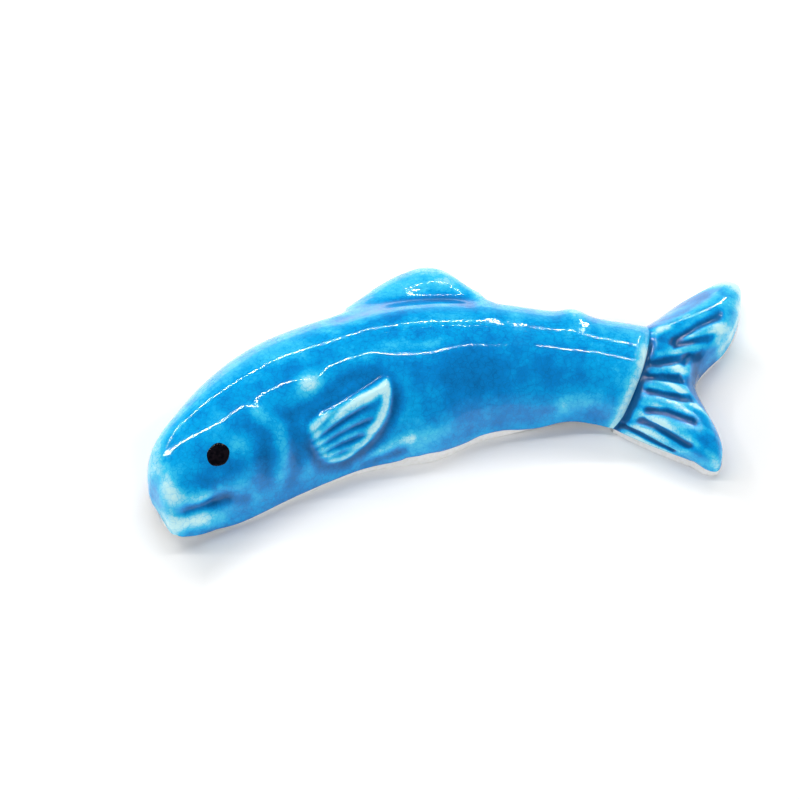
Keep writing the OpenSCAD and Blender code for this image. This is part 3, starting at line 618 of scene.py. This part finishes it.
def clay_surface(t, v, seat=True):
    """The clay's own surface, with the pectoral fin's seat cut in."""
    plain = body_plain(t, v)
    relief = body_relief(t, v) * ramp(from_rim(v), 0, RIM_FADE)
    if seat:
        a, b = on_pectoral(t, v, girth(t))
        relief = relief - (relief + SEAT) * ramp(inside_pectoral(a, b), -0.1, 0.0)
    return plain + (relief - UNDER_CLAY)[..., None] * normals_of(plain)


def seam(t):
    """How far from the axis the body's clay ends and the dorsal fin's begins."""
    _, back, _, _, _, out = sizes(t)
    f = along_dorsal(t)
    share = DORSAL_SEAM[0] + (DORSAL_SEAM[1] - DORSAL_SEAM[0]) * np.sin(np.pi * np.clip(f, 0, 1))
    reach = np.where((f > 0) & (f < 1), back * share, back + out)
    return np.minimum(reach, back + out)


def seam_place(t):
    """The seam as a place between the crest and the back's rim."""
    _, back, _, _, _, out = sizes(t)
    return np.arcsin(np.clip(seam(t) / (back + out), 0, 1)) * 2 / math.pi


def closed_band(name, top, under_left, under_right, node):
    """A grid of rows closed by walls that roll in to the foot, a flat underside and two ends."""
    rows = top.shape[0] - 1

    def wall(a, b):
        k = np.array(WALL_STEPS)[None, :, None]
        ease = k**WALL_ROLL
        return vec(a[:, None, 0] + (b[:, None, 0] - a[:, None, 0]) * ease[..., 0],
                   a[:, None, 1] + (b[:, None, 1] - a[:, None, 1]) * ease[..., 0],
                   a[:, None, 2] + (b[:, None, 2] - a[:, None, 2]) * k[..., 0])

    left_wall, right_wall = wall(top[:, 0], under_left), wall(top[:, -1], under_right)
    ring = np.concatenate([under_left[:, None], left_wall[:, ::-1], top, right_wall, under_right[:, None]], 1)
    count = ring.shape[1]
    row_start = np.arange(rows + 1) * count
    quads = np.concatenate([grid_faces(rows, count - 1), strip(row_start + count - 1, row_start)])
    first = np.arange(count)
    fans = [first.tolist(), (first + rows * count)[::-1].tolist()]
    return make(name, ring, quads, fans, node)


def body_clay():
    t1 = np.concatenate([rows_t[:-1:2], [1.0]])
    belly, back, _, lift, _, out = sizes(t1)
    cut = seam_place(t1)
    k = np.linspace(-1, 1, CLAY_COLUMNS + 1)
    t = np.repeat(t1[:, None], len(k), 1)
    v = np.where(k[None, :] < 0, k[None, :], k[None, :] * cut[:, None])
    top = clay_surface(t, v)
    inset = np.minimum(FOOT_INSET + lift, INSET_MOST * belly)
    under_left = flat(top[:, 0] + inset[:, None] * sideways(t1), lift)
    inset = np.where(cut < 0.999, 0.0, np.minimum(FOOT_INSET + lift, INSET_MOST * (back + out)))
    under_right = flat(top[:, -1] - inset[:, None] * sideways(t1), lift)
    return closed_band("body_clay", top, under_left, under_right, "clay_body")


def dorsal_clay():
    t1 = np.linspace(DORSAL_SPAN[0], DORSAL_SPAN[1], 121)
    _, back, _, _, _, out = sizes(t1)
    t1 = t1[seam(t1) < back + out - 0.02]
    _, back, _, lift, _, out = sizes(t1)
    cut = seam_place(t1)
    k = np.linspace(0, 1, 61)
    t = np.repeat(t1[:, None], len(k), 1)
    v = cut[:, None] + (1 - cut[:, None]) * k[None, :]
    top = clay_surface(t, v, seat=False)
    width = back + out - seam(t1)
    under_left = flat(top[:, 0], lift)
    under_right = flat(top[:, -1] - np.minimum(FOOT_INSET, 0.5 * width)[:, None] * sideways(t1), lift)
    return closed_band("dorsal_clay", top, under_left, under_right, "dorsal_fin")


def tail_clay():
    w1 = rows_w[::2]
    k = np.linspace(-1, 1, CLAY_COLUMNS + 1)
    w, v = np.repeat(w1[:, None], len(k), 1), np.repeat(k[None, :], len(w1), 0)
    plain = tail_plain(w, v)
    relief = tail_relief(w, v) * ramp(from_rim(v), 0, RIM_FADE)
    top = plain + (relief - UNDER_CLAY)[..., None] * normals_of(plain)
    # walls roll in all round to a flat foot
    rows, wide = top.shape[0] - 1, top.shape[1] - 1
    n = (rows + 1) * (wide + 1)
    at = np.arange(n).reshape(rows + 1, wide + 1)
    loop = np.concatenate([at[:-1, 0], at[-1, :-1], at[:0:-1, -1], at[0, :0:-1]])
    edge = top.reshape(-1, 3)[loop]
    along = unit(flat(np.roll(edge, -1, 0) - np.roll(edge, 1, 0)))
    inward = vec(along[:, 1], -along[:, 0], 0)
    inward[rows + wide + rows:] = 0
    count = len(loop)
    rings, quads, last = [top.reshape(-1, 3)], [grid_faces(rows, wide)], loop
    for ring, k in enumerate((*WALL_STEPS, 1)):
        rings.append(flat(edge + FOOT_INSET * k**WALL_ROLL * inward, edge[:, 2] * (1 - k)))
        here = n + ring * count + np.arange(count)
        quads.append(np.stack([last, np.roll(last, -1), np.roll(here, -1), here], -1))
        last = here
    points, quads = np.concatenate(rings), np.concatenate(quads)
    return make("tail_clay", points, quads, [last.tolist()], "tail_fin")


def ring_faces(rings, count, at=0):
    """Faces between rings of points that follow each other."""
    quads = []
    for r in range(rings - 1):
        for j in range(count):
            a, b = at + r * count + j, at + r * count + (j + 1) % count
            quads.append([a, a + count, b + count, b])
    return quads


def pectoral_clay():
    """The sprig that sits in the seat: rings from its outline to its middle, above and below."""
    line = np.array(PECTORAL_MM)
    n = len(line)
    around = np.linspace(0, n, 97)[:-1]
    i = np.floor(around).astype(int) % n
    f = (around - np.floor(around))[:, None]
    rim = line[i] * (1 - f) + line[(i + 1) % n] * f
    heart = np.array([PECTORAL_L * 0.45, PECTORAL_W * 0.45])
    rings = []
    for share in (0.99, 0.9, 0.78, 0.64, 0.48, 0.3, 0.12):
        p = heart + (rim - heart) * share
        x, y = tilted(p[:, 0], p[:, 1])
        t = PECTORAL_AT[0] + x / BODY_L
        rings.append((t, PECTORAL_AT[1] + y / girth(t)))
    t, v = np.array([r[0] for r in rings]), np.array([r[1] for r in rings])
    plain, normal = body_plain(t, v), body_normals(t, v)
    top = plain + (body_relief(t, v) - UNDER_GLAZE)[..., None] * normal
    under = plain - (SEAT - UNDER_SPRIG) * normal
    count = len(rim)
    lower = len(rings) * count
    points = np.concatenate([top.reshape(-1, 3), under.reshape(-1, 3)])
    quads = ring_faces(len(rings), count)
    quads += [[face[0], *face[:0:-1]] for face in ring_faces(len(rings), count, lower)]
    for j in range(count):
        quads.append([j, (j + 1) % count, lower + (j + 1) % count, lower + j])
    last = np.arange(count) + lower - count
    fans = [last[::-1].tolist(), (last + lower).tolist()]
    return make("pectoral_clay", points, quads, fans, "pectoral_fin")


def eye_piece():
    """A dot of black glaze, slightly uneven, that crowns over the coat."""
    rings, count = 14, 64
    th = np.arange(count) * 2 * math.pi / count
    r = np.concatenate([np.linspace(0.06, 1, rings), [0.985]])
    wide = float(girth(np.array(EYE_AT[0])))
    ragged = 1 + 0.03 * np.sin(2 * th + 0.6) + 0.02 * np.sin(5 * th + 2)
    x = EYE_D / 2 * r[:, None] * (np.cos(th) * ragged)[None, :]
    y = EYE_D / 2 * r[:, None] * (np.sin(th) * ragged)[None, :]
    t, v = EYE_AT[0] + x / BODY_L, EYE_AT[1] + y / wide
    rise = EYE_CROWN * np.sqrt(np.maximum(0, 1 - r**2))[:, None] - 0.05 * r[:, None] ** 6
    rise[-1] = -EYE_DEPTH
    surface = body_plain(t, v) + (body_relief(t, v) + GLAZE_T + rise)[..., None] * body_normals(t, v)
    inner_ring = np.arange(count)
    fans = [inner_ring.tolist(), (inner_ring + rings * count)[::-1].tolist()]
    return make("eye_dot", surface, ring_faces(len(r), count), fans, "eye")


# Materials
def material(name, **values):
    """A new material, its nodes, its links and its shader."""
    m = bpy.data.materials.new(name)
    m.use_nodes = True
    shader = m.node_tree.nodes["Principled BSDF"]
    for key, value in values.items():
        shader.inputs[key.replace("_", " ")].default_value = value
    return m, m.node_tree.nodes, m.node_tree.links, shader


def place(nodes, links, scale):
    """Coordinates in millimetres times a scale."""
    where = nodes.new("ShaderNodeTexCoord")
    size = nodes.new("ShaderNodeMapping")
    size.inputs["Scale"].default_value = (scale / MM,) * 3
    links.new(where.outputs["Object"], size.inputs["Vector"])
    return size.outputs["Vector"]


def noise(nodes, links, scale, detail=3.0, rough=0.55):
    n = nodes.new("ShaderNodeTexNoise")
    n.inputs["Scale"].default_value = 1.0
    n.inputs["Detail"].default_value = detail
    n.inputs["Roughness"].default_value = rough
    links.new(place(nodes, links, scale), n.inputs["Vector"])
    return n.outputs["Fac"]


def math_node(nodes, links, kind, *values):
    n = nodes.new("ShaderNodeMath")
    n.operation = kind
    for k, value in enumerate(values):
        if isinstance(value, (int, float)):
            n.inputs[k].default_value = value
        else:
            links.new(value, n.inputs[k])
    return n.outputs[0]


def mapped(nodes, links, value, low, high, at_low, at_high, smooth=False):
    """A value that goes from at_low to at_high as another goes from low to high."""
    n = nodes.new("ShaderNodeMapRange")
    if smooth:
        n.interpolation_type = "SMOOTHSTEP"
    for name, number in (("From Min", low), ("From Max", high), ("To Min", at_low), ("To Max", at_high)):
        n.inputs[name].default_value = number
    links.new(value, n.inputs["Value"])
    return n.outputs["Result"]


def cloudy(nodes, links, strength, scale, detail, rough):
    """Noise around zero."""
    even = math_node(nodes, links, "SUBTRACT", noise(nodes, links, scale, detail, rough), 0.5)
    return math_node(nodes, links, "MULTIPLY", even, strength)


def coloured(nodes, links, shader, value, stops):
    """The shader's colour from a value, by places and colours in order."""
    n = nodes.new("ShaderNodeValToRGB")
    elements = n.color_ramp.elements
    for element, (at, colour) in zip(elements, (stops[0], stops[-1])):
        element.position = at
        element.color = (*colour, 1)
    for at, colour in stops[1:-1]:
        elements.new(at).color = (*colour, 1)
    links.new(value, n.inputs["Fac"])
    links.new(n.outputs["Color"], shader.inputs["Base Color"])


def bumped(nodes, links, shader, height, strength):
    bump = nodes.new("ShaderNodeBump")
    bump.inputs["Strength"].default_value = strength
    bump.inputs["Distance"].default_value = BUMP
    links.new(height, bump.inputs["Height"])
    links.new(bump.outputs["Normal"], shader.inputs["Normal"])


def crackle(nodes, links):
    """A fine net of darker lines with uneven cells."""
    net = nodes.new("ShaderNodeTexVoronoi")
    net.feature = "DISTANCE_TO_EDGE"
    net.inputs["Scale"].default_value = 1.0
    warp = nodes.new("ShaderNodeVectorMath")
    warp.operation = "ADD"
    warp_noise = nodes.new("ShaderNodeTexNoise")
    warp_noise.inputs["Scale"].default_value = 0.8
    base = place(nodes, links, CRACKLE_SCALE)
    links.new(base, warp_noise.inputs["Vector"])
    links.new(base, warp.inputs[0])
    links.new(warp_noise.outputs["Color"], warp.inputs[1])
    links.new(warp.outputs["Vector"], net.inputs["Vector"])
    return mapped(nodes, links, net.outputs["Distance"], 0, CRACKLE_HALF, -CRACKLE_DARK, 0)


# Depth of all bumps in metres, and cells to a millimetre, half width and strength of the crackle's lines
BUMP = 0.0001
CRACKLE_SCALE, CRACKLE_HALF, CRACKLE_DARK = 1.5, 0.07, 0.1
# The glaze from its deepest pools to its thinnest edges, and where a plain surface lies between
GLAZE_COLOURS = [(0, (0, 0.09, 0.27)), (0.2, (0, 0.145, 0.42)), (0.42, (0, 0.24, 0.66)),
                 (0.58, (0, 0.4, 0.84)), (0.76, (0.05, 0.61, 0.92)), (1, (0.6, 0.94, 0.99))]
GLAZE_LEVEL = 0.46
CLAY_COLOURS = [(0.3, (0.84, 0.82, 0.77)), (0.55, (0.94, 0.935, 0.915))]
EYE_COLOURS = [(0.4, (0.002, 0.002, 0.004)), (0.75, (0.012, 0.008, 0.012))]
FLOOR_COLOURS = [(0, (0.93, 0.93, 0.93)), (1, (0.96, 0.96, 0.96))]


def glaze_material():
    m, nodes, links, shader = material("turquoise_glaze", Roughness=0.05, IOR=1.5, Specular_IOR_Level=0.4)
    value = GLAZE_LEVEL
    for name in ("step", "tone"):
        layer = nodes.new("ShaderNodeAttribute")
        layer.attribute_name = name
        value = math_node(nodes, links, "ADD", value, layer.outputs["Fac"])
    for term in (crackle(nodes, links), cloudy(nodes, links, 0.2, 1.9, 3.0, 0.6),
                 cloudy(nodes, links, 0.48, 0.42, 3.0, 0.55)):
        value = math_node(nodes, links, "ADD", value, term)
    coloured(nodes, links, shader, value, GLAZE_COLOURS)
    bumped(nodes, links, shader, noise(nodes, links, 1.1, 3.0, 0.6), 0.12)
    return m


def clay_material():
    m, nodes, links, shader = material("bare_clay", Roughness=0.75)
    coloured(nodes, links, shader, noise(nodes, links, 1.7, 4.0, 0.7), CLAY_COLOURS)
    bumped(nodes, links, shader, noise(nodes, links, 4.0, 4.0, 0.7), 0.5)
    return m


def eye_material():
    m, nodes, links, shader = material("black_glaze", Roughness=0.1, Specular_IOR_Level=0.1)
    coloured(nodes, links, shader, noise(nodes, links, 2.5), EYE_COLOURS)
    return m


def seen_ray(nodes, links):
    """1 for rays from the camera and rays mirrored or refracted."""
    path = nodes.new("ShaderNodeLightPath")
    out = path.outputs["Is Camera Ray"]
    for name in ("Is Glossy Ray", "Is Transmission Ray"):
        out = math_node(nodes, links, "MAXIMUM", out, path.outputs[name])
    return out


# The floor's white: its strength, its share close to the fish, metres from the fish's arc and from the middle
# between which it comes in, and how much it rises further off. Kept low close to the fish, it paints a band
# of shade there
FLOOR_GLOW, PAINTED_SHADE_GLOW = 0.26, 0.1
GLOW_BESIDE, GLOW_BEYOND, GLOW_FAR, GLOW_RISE = (0.0095, 0.0145), (0.037, 0.046), (0.08, 0.7), 3.0


def floor_material():
    """White like a studio floor from a glow the camera sees, kept low along the fish so that its shadow stays
    and a band of painted shade follows it.
    """
    m, nodes, links, shader = material("white_floor", Roughness=0.9, Specular_IOR_Level=0.1)
    coloured(nodes, links, shader, noise(nodes, links, 0.02), FLOOR_COLOURS)
    spot = nodes.new("ShaderNodeTexCoord").outputs["Object"]

    def reach(centre):
        away = nodes.new("ShaderNodeVectorMath")
        away.operation = "DISTANCE"
        away.inputs[1].default_value = centre
        links.new(spot, away.inputs[0])
        return away.outputs["Value"]

    turn = bend(0)
    bow = (np.array([-BEND_R * math.sin(turn), -BEND_R * math.cos(turn), 0]) - MIDDLE) * MM
    from_arc = math_node(nodes, links, "SUBTRACT", reach(bow), BEND_R * MM)
    from_arc = math_node(nodes, links, "ABSOLUTE", from_arc)
    from_middle = reach((0, 0, 0))
    # the glow stays low along the fish's arc and round its ends, which paints a band of shade beside the fish
    beside = mapped(nodes, links, from_arc, *GLOW_BESIDE, PAINTED_SHADE_GLOW, 1, smooth=True)
    beyond = mapped(nodes, links, from_middle, *GLOW_BEYOND, PAINTED_SHADE_GLOW, 1, smooth=True)
    far = mapped(nodes, links, from_middle, *GLOW_FAR, 0, GLOW_RISE, smooth=True)
    share = math_node(nodes, links, "MAXIMUM", beside, beyond)
    share = math_node(nodes, links, "ADD", share, far)
    glow = math_node(nodes, links, "MULTIPLY", seen_ray(nodes, links), share)
    glow = math_node(nodes, links, "MULTIPLY", glow, FLOOR_GLOW)
    shader.inputs["Emission Color"].default_value = (1, 1, 1, 1)
    links.new(glow, shader.inputs["Emission Strength"])
    return m


glaze, clay = glaze_material(), clay_material()
for piece, finish in (
    (glaze_piece(), glaze),
    (body_clay(), clay),
    (dorsal_clay(), clay),
    (tail_clay(), clay),
    (pectoral_clay(), clay),
    (eye_piece(), eye_material()),
):
    piece.data.materials.clear()
    piece.data.materials.append(finish)

# Floor
FLOOR_HALF, FLOOR_Z = 4, -1e-5
corners = [(-FLOOR_HALF, -FLOOR_HALF, FLOOR_Z), (FLOOR_HALF, -FLOOR_HALF, FLOOR_Z),
           (FLOOR_HALF, FLOOR_HALF, FLOOR_Z), (-FLOOR_HALF, FLOOR_HALF, FLOOR_Z)]
floor_mesh = bpy.data.meshes.new("floor")
floor_mesh.from_pydata(corners, [], [(0, 1, 2, 3)])
floor_mesh.materials.append(floor_material())
floor = bpy.data.objects.new("floor", floor_mesh)
bpy.context.scene.collection.objects.link(floor)

# World: soft light that is stronger low down and in front, and white where it is seen or mirrored
world = bpy.data.worlds.new("room")
bpy.context.scene.world = world
world.use_nodes = True
nodes, links = world.node_tree.nodes, world.node_tree.links
nodes.clear()
even, bright = nodes.new("ShaderNodeBackground"), nodes.new("ShaderNodeBackground")
even.inputs["Color"].default_value = (0.97, 0.985, 1, 1)
bright.inputs["Color"].default_value = (1, 1, 1, 1)
way = nodes.new("ShaderNodeSeparateXYZ")
links.new(nodes.new("ShaderNodeTexCoord").outputs["Generated"], way.inputs[0])
by_height = mapped(nodes, links, way.outputs["Z"], 0, 1, 1.2, 0.1)
by_side = mapped(nodes, links, way.outputs["Y"], -1, 1, 1.4, 0.6)
mirrored = mapped(nodes, links, way.outputs["Z"], 0, 0.4, 0.6, 0.1)
seen = nodes.new("ShaderNodeLightPath").outputs["Is Camera Ray"]
links.new(math_node(nodes, links, "MULTIPLY", by_height, by_side), even.inputs["Strength"])
links.new(math_node(nodes, links, "MAXIMUM", seen, mirrored), bright.inputs["Strength"])
mixer, world_out = nodes.new("ShaderNodeMixShader"), nodes.new("ShaderNodeOutputWorld")
links.new(seen_ray(nodes, links), mixer.inputs[0])
links.new(even.outputs[0], mixer.inputs[1])
links.new(bright.outputs[0], mixer.inputs[2])
links.new(mixer.outputs[0], world_out.inputs["Surface"])


def placed(obj, x, y, z, spot):
    """Links an object with its axes x, y and z at a spot."""
    axes = np.array([x, y, z]).T
    obj.matrix_world = Matrix([[*axes[k], spot[k]] for k in range(3)] + [[0, 0, 0, 1]])
    bpy.context.scene.collection.objects.link(obj)


# Camera, at the photograph's angle: pixels to a millimetre, and the pixel where the aim lies
AZIMUTH, ELEVATION, FAR = math.radians(15.5), math.radians(50), 0.35
PHOTO_W, PHOTO_H, SENSOR, PIXELS = 799, 800, 36, 8.54
AIM, AIM_PIXEL = (35.4, 1.0, 3.0), (445, 432)
look = np.array([
    math.sin(AZIMUTH) * math.cos(ELEVATION),
    math.cos(AZIMUTH) * math.cos(ELEVATION),
    -math.sin(ELEVATION),
])
right = np.array([math.cos(AZIMUTH), -math.sin(AZIMUTH), 0])
above = np.cross(right, look)
camera_data = bpy.data.cameras.new("camera")
camera_data.sensor_fit = "HORIZONTAL"
camera_data.sensor_width = SENSOR
camera_data.lens = SENSOR * PIXELS * FAR / MM / PHOTO_W
camera_data.shift_x = -(AIM_PIXEL[0] - PHOTO_W / 2) / PHOTO_W
camera_data.shift_y = (AIM_PIXEL[1] - PHOTO_H / 2) / PHOTO_W
camera_data.clip_start, camera_data.clip_end = 0.01, 20
camera = bpy.data.objects.new("camera", camera_data)
placed(camera, right, above, -look, (np.array(AIM) - MIDDLE) * MM - look * FAR)
bpy.context.scene.camera = camera

# Lamps: a square frame of four strips over the object, and a fifth further off. Metres and watts
HEIGHT, BEHIND, BEFORE, LEFT, RIGHT = 0.3, 0.33, 0.09, -0.34, 0.15
LAMP_COLOUR = (1, 0.99, 0.97)
back = np.array([math.sin(AZIMUTH), math.cos(AZIMUTH), 0])
up = np.array([0, 0, HEIGHT])
across, deep = RIGHT - LEFT, BEHIND - BEFORE
side, middle = right * (LEFT + RIGHT) / 2, back * (BEHIND + BEFORE) / 2


def strip_lamp(name, centre, along, length, wide, watts):
    """A strip that shines at the object."""
    lamp = bpy.data.lights.new(name, "AREA")
    lamp.shape = "RECTANGLE"
    lamp.size, lamp.size_y = length, wide
    lamp.energy = watts
    lamp.color = LAMP_COLOUR
    z = unit(centre)
    x = unit(along - (along @ z) * z)
    placed(bpy.data.objects.new(name, lamp), x, np.cross(z, x), z, centre)


strip_lamp("lamp_back", up + side + back * BEHIND, right, across, 0.0035, 0.58)
strip_lamp("lamp_front", up + side + back * BEFORE, right, across, 0.0035, 0.48)
strip_lamp("lamp_left", up + middle + right * LEFT, back, deep, 0.004, 0.28)
strip_lamp("lamp_right", up + middle + right * RIGHT, back, deep, 0.003, 0.18)
strip_lamp("lamp_far", up + back * 0.6 + right * 0.22, back + right * 0.33, 0.26, 0.0035, 0.3)

bpy.context.scene.view_settings.view_transform = "Standard"
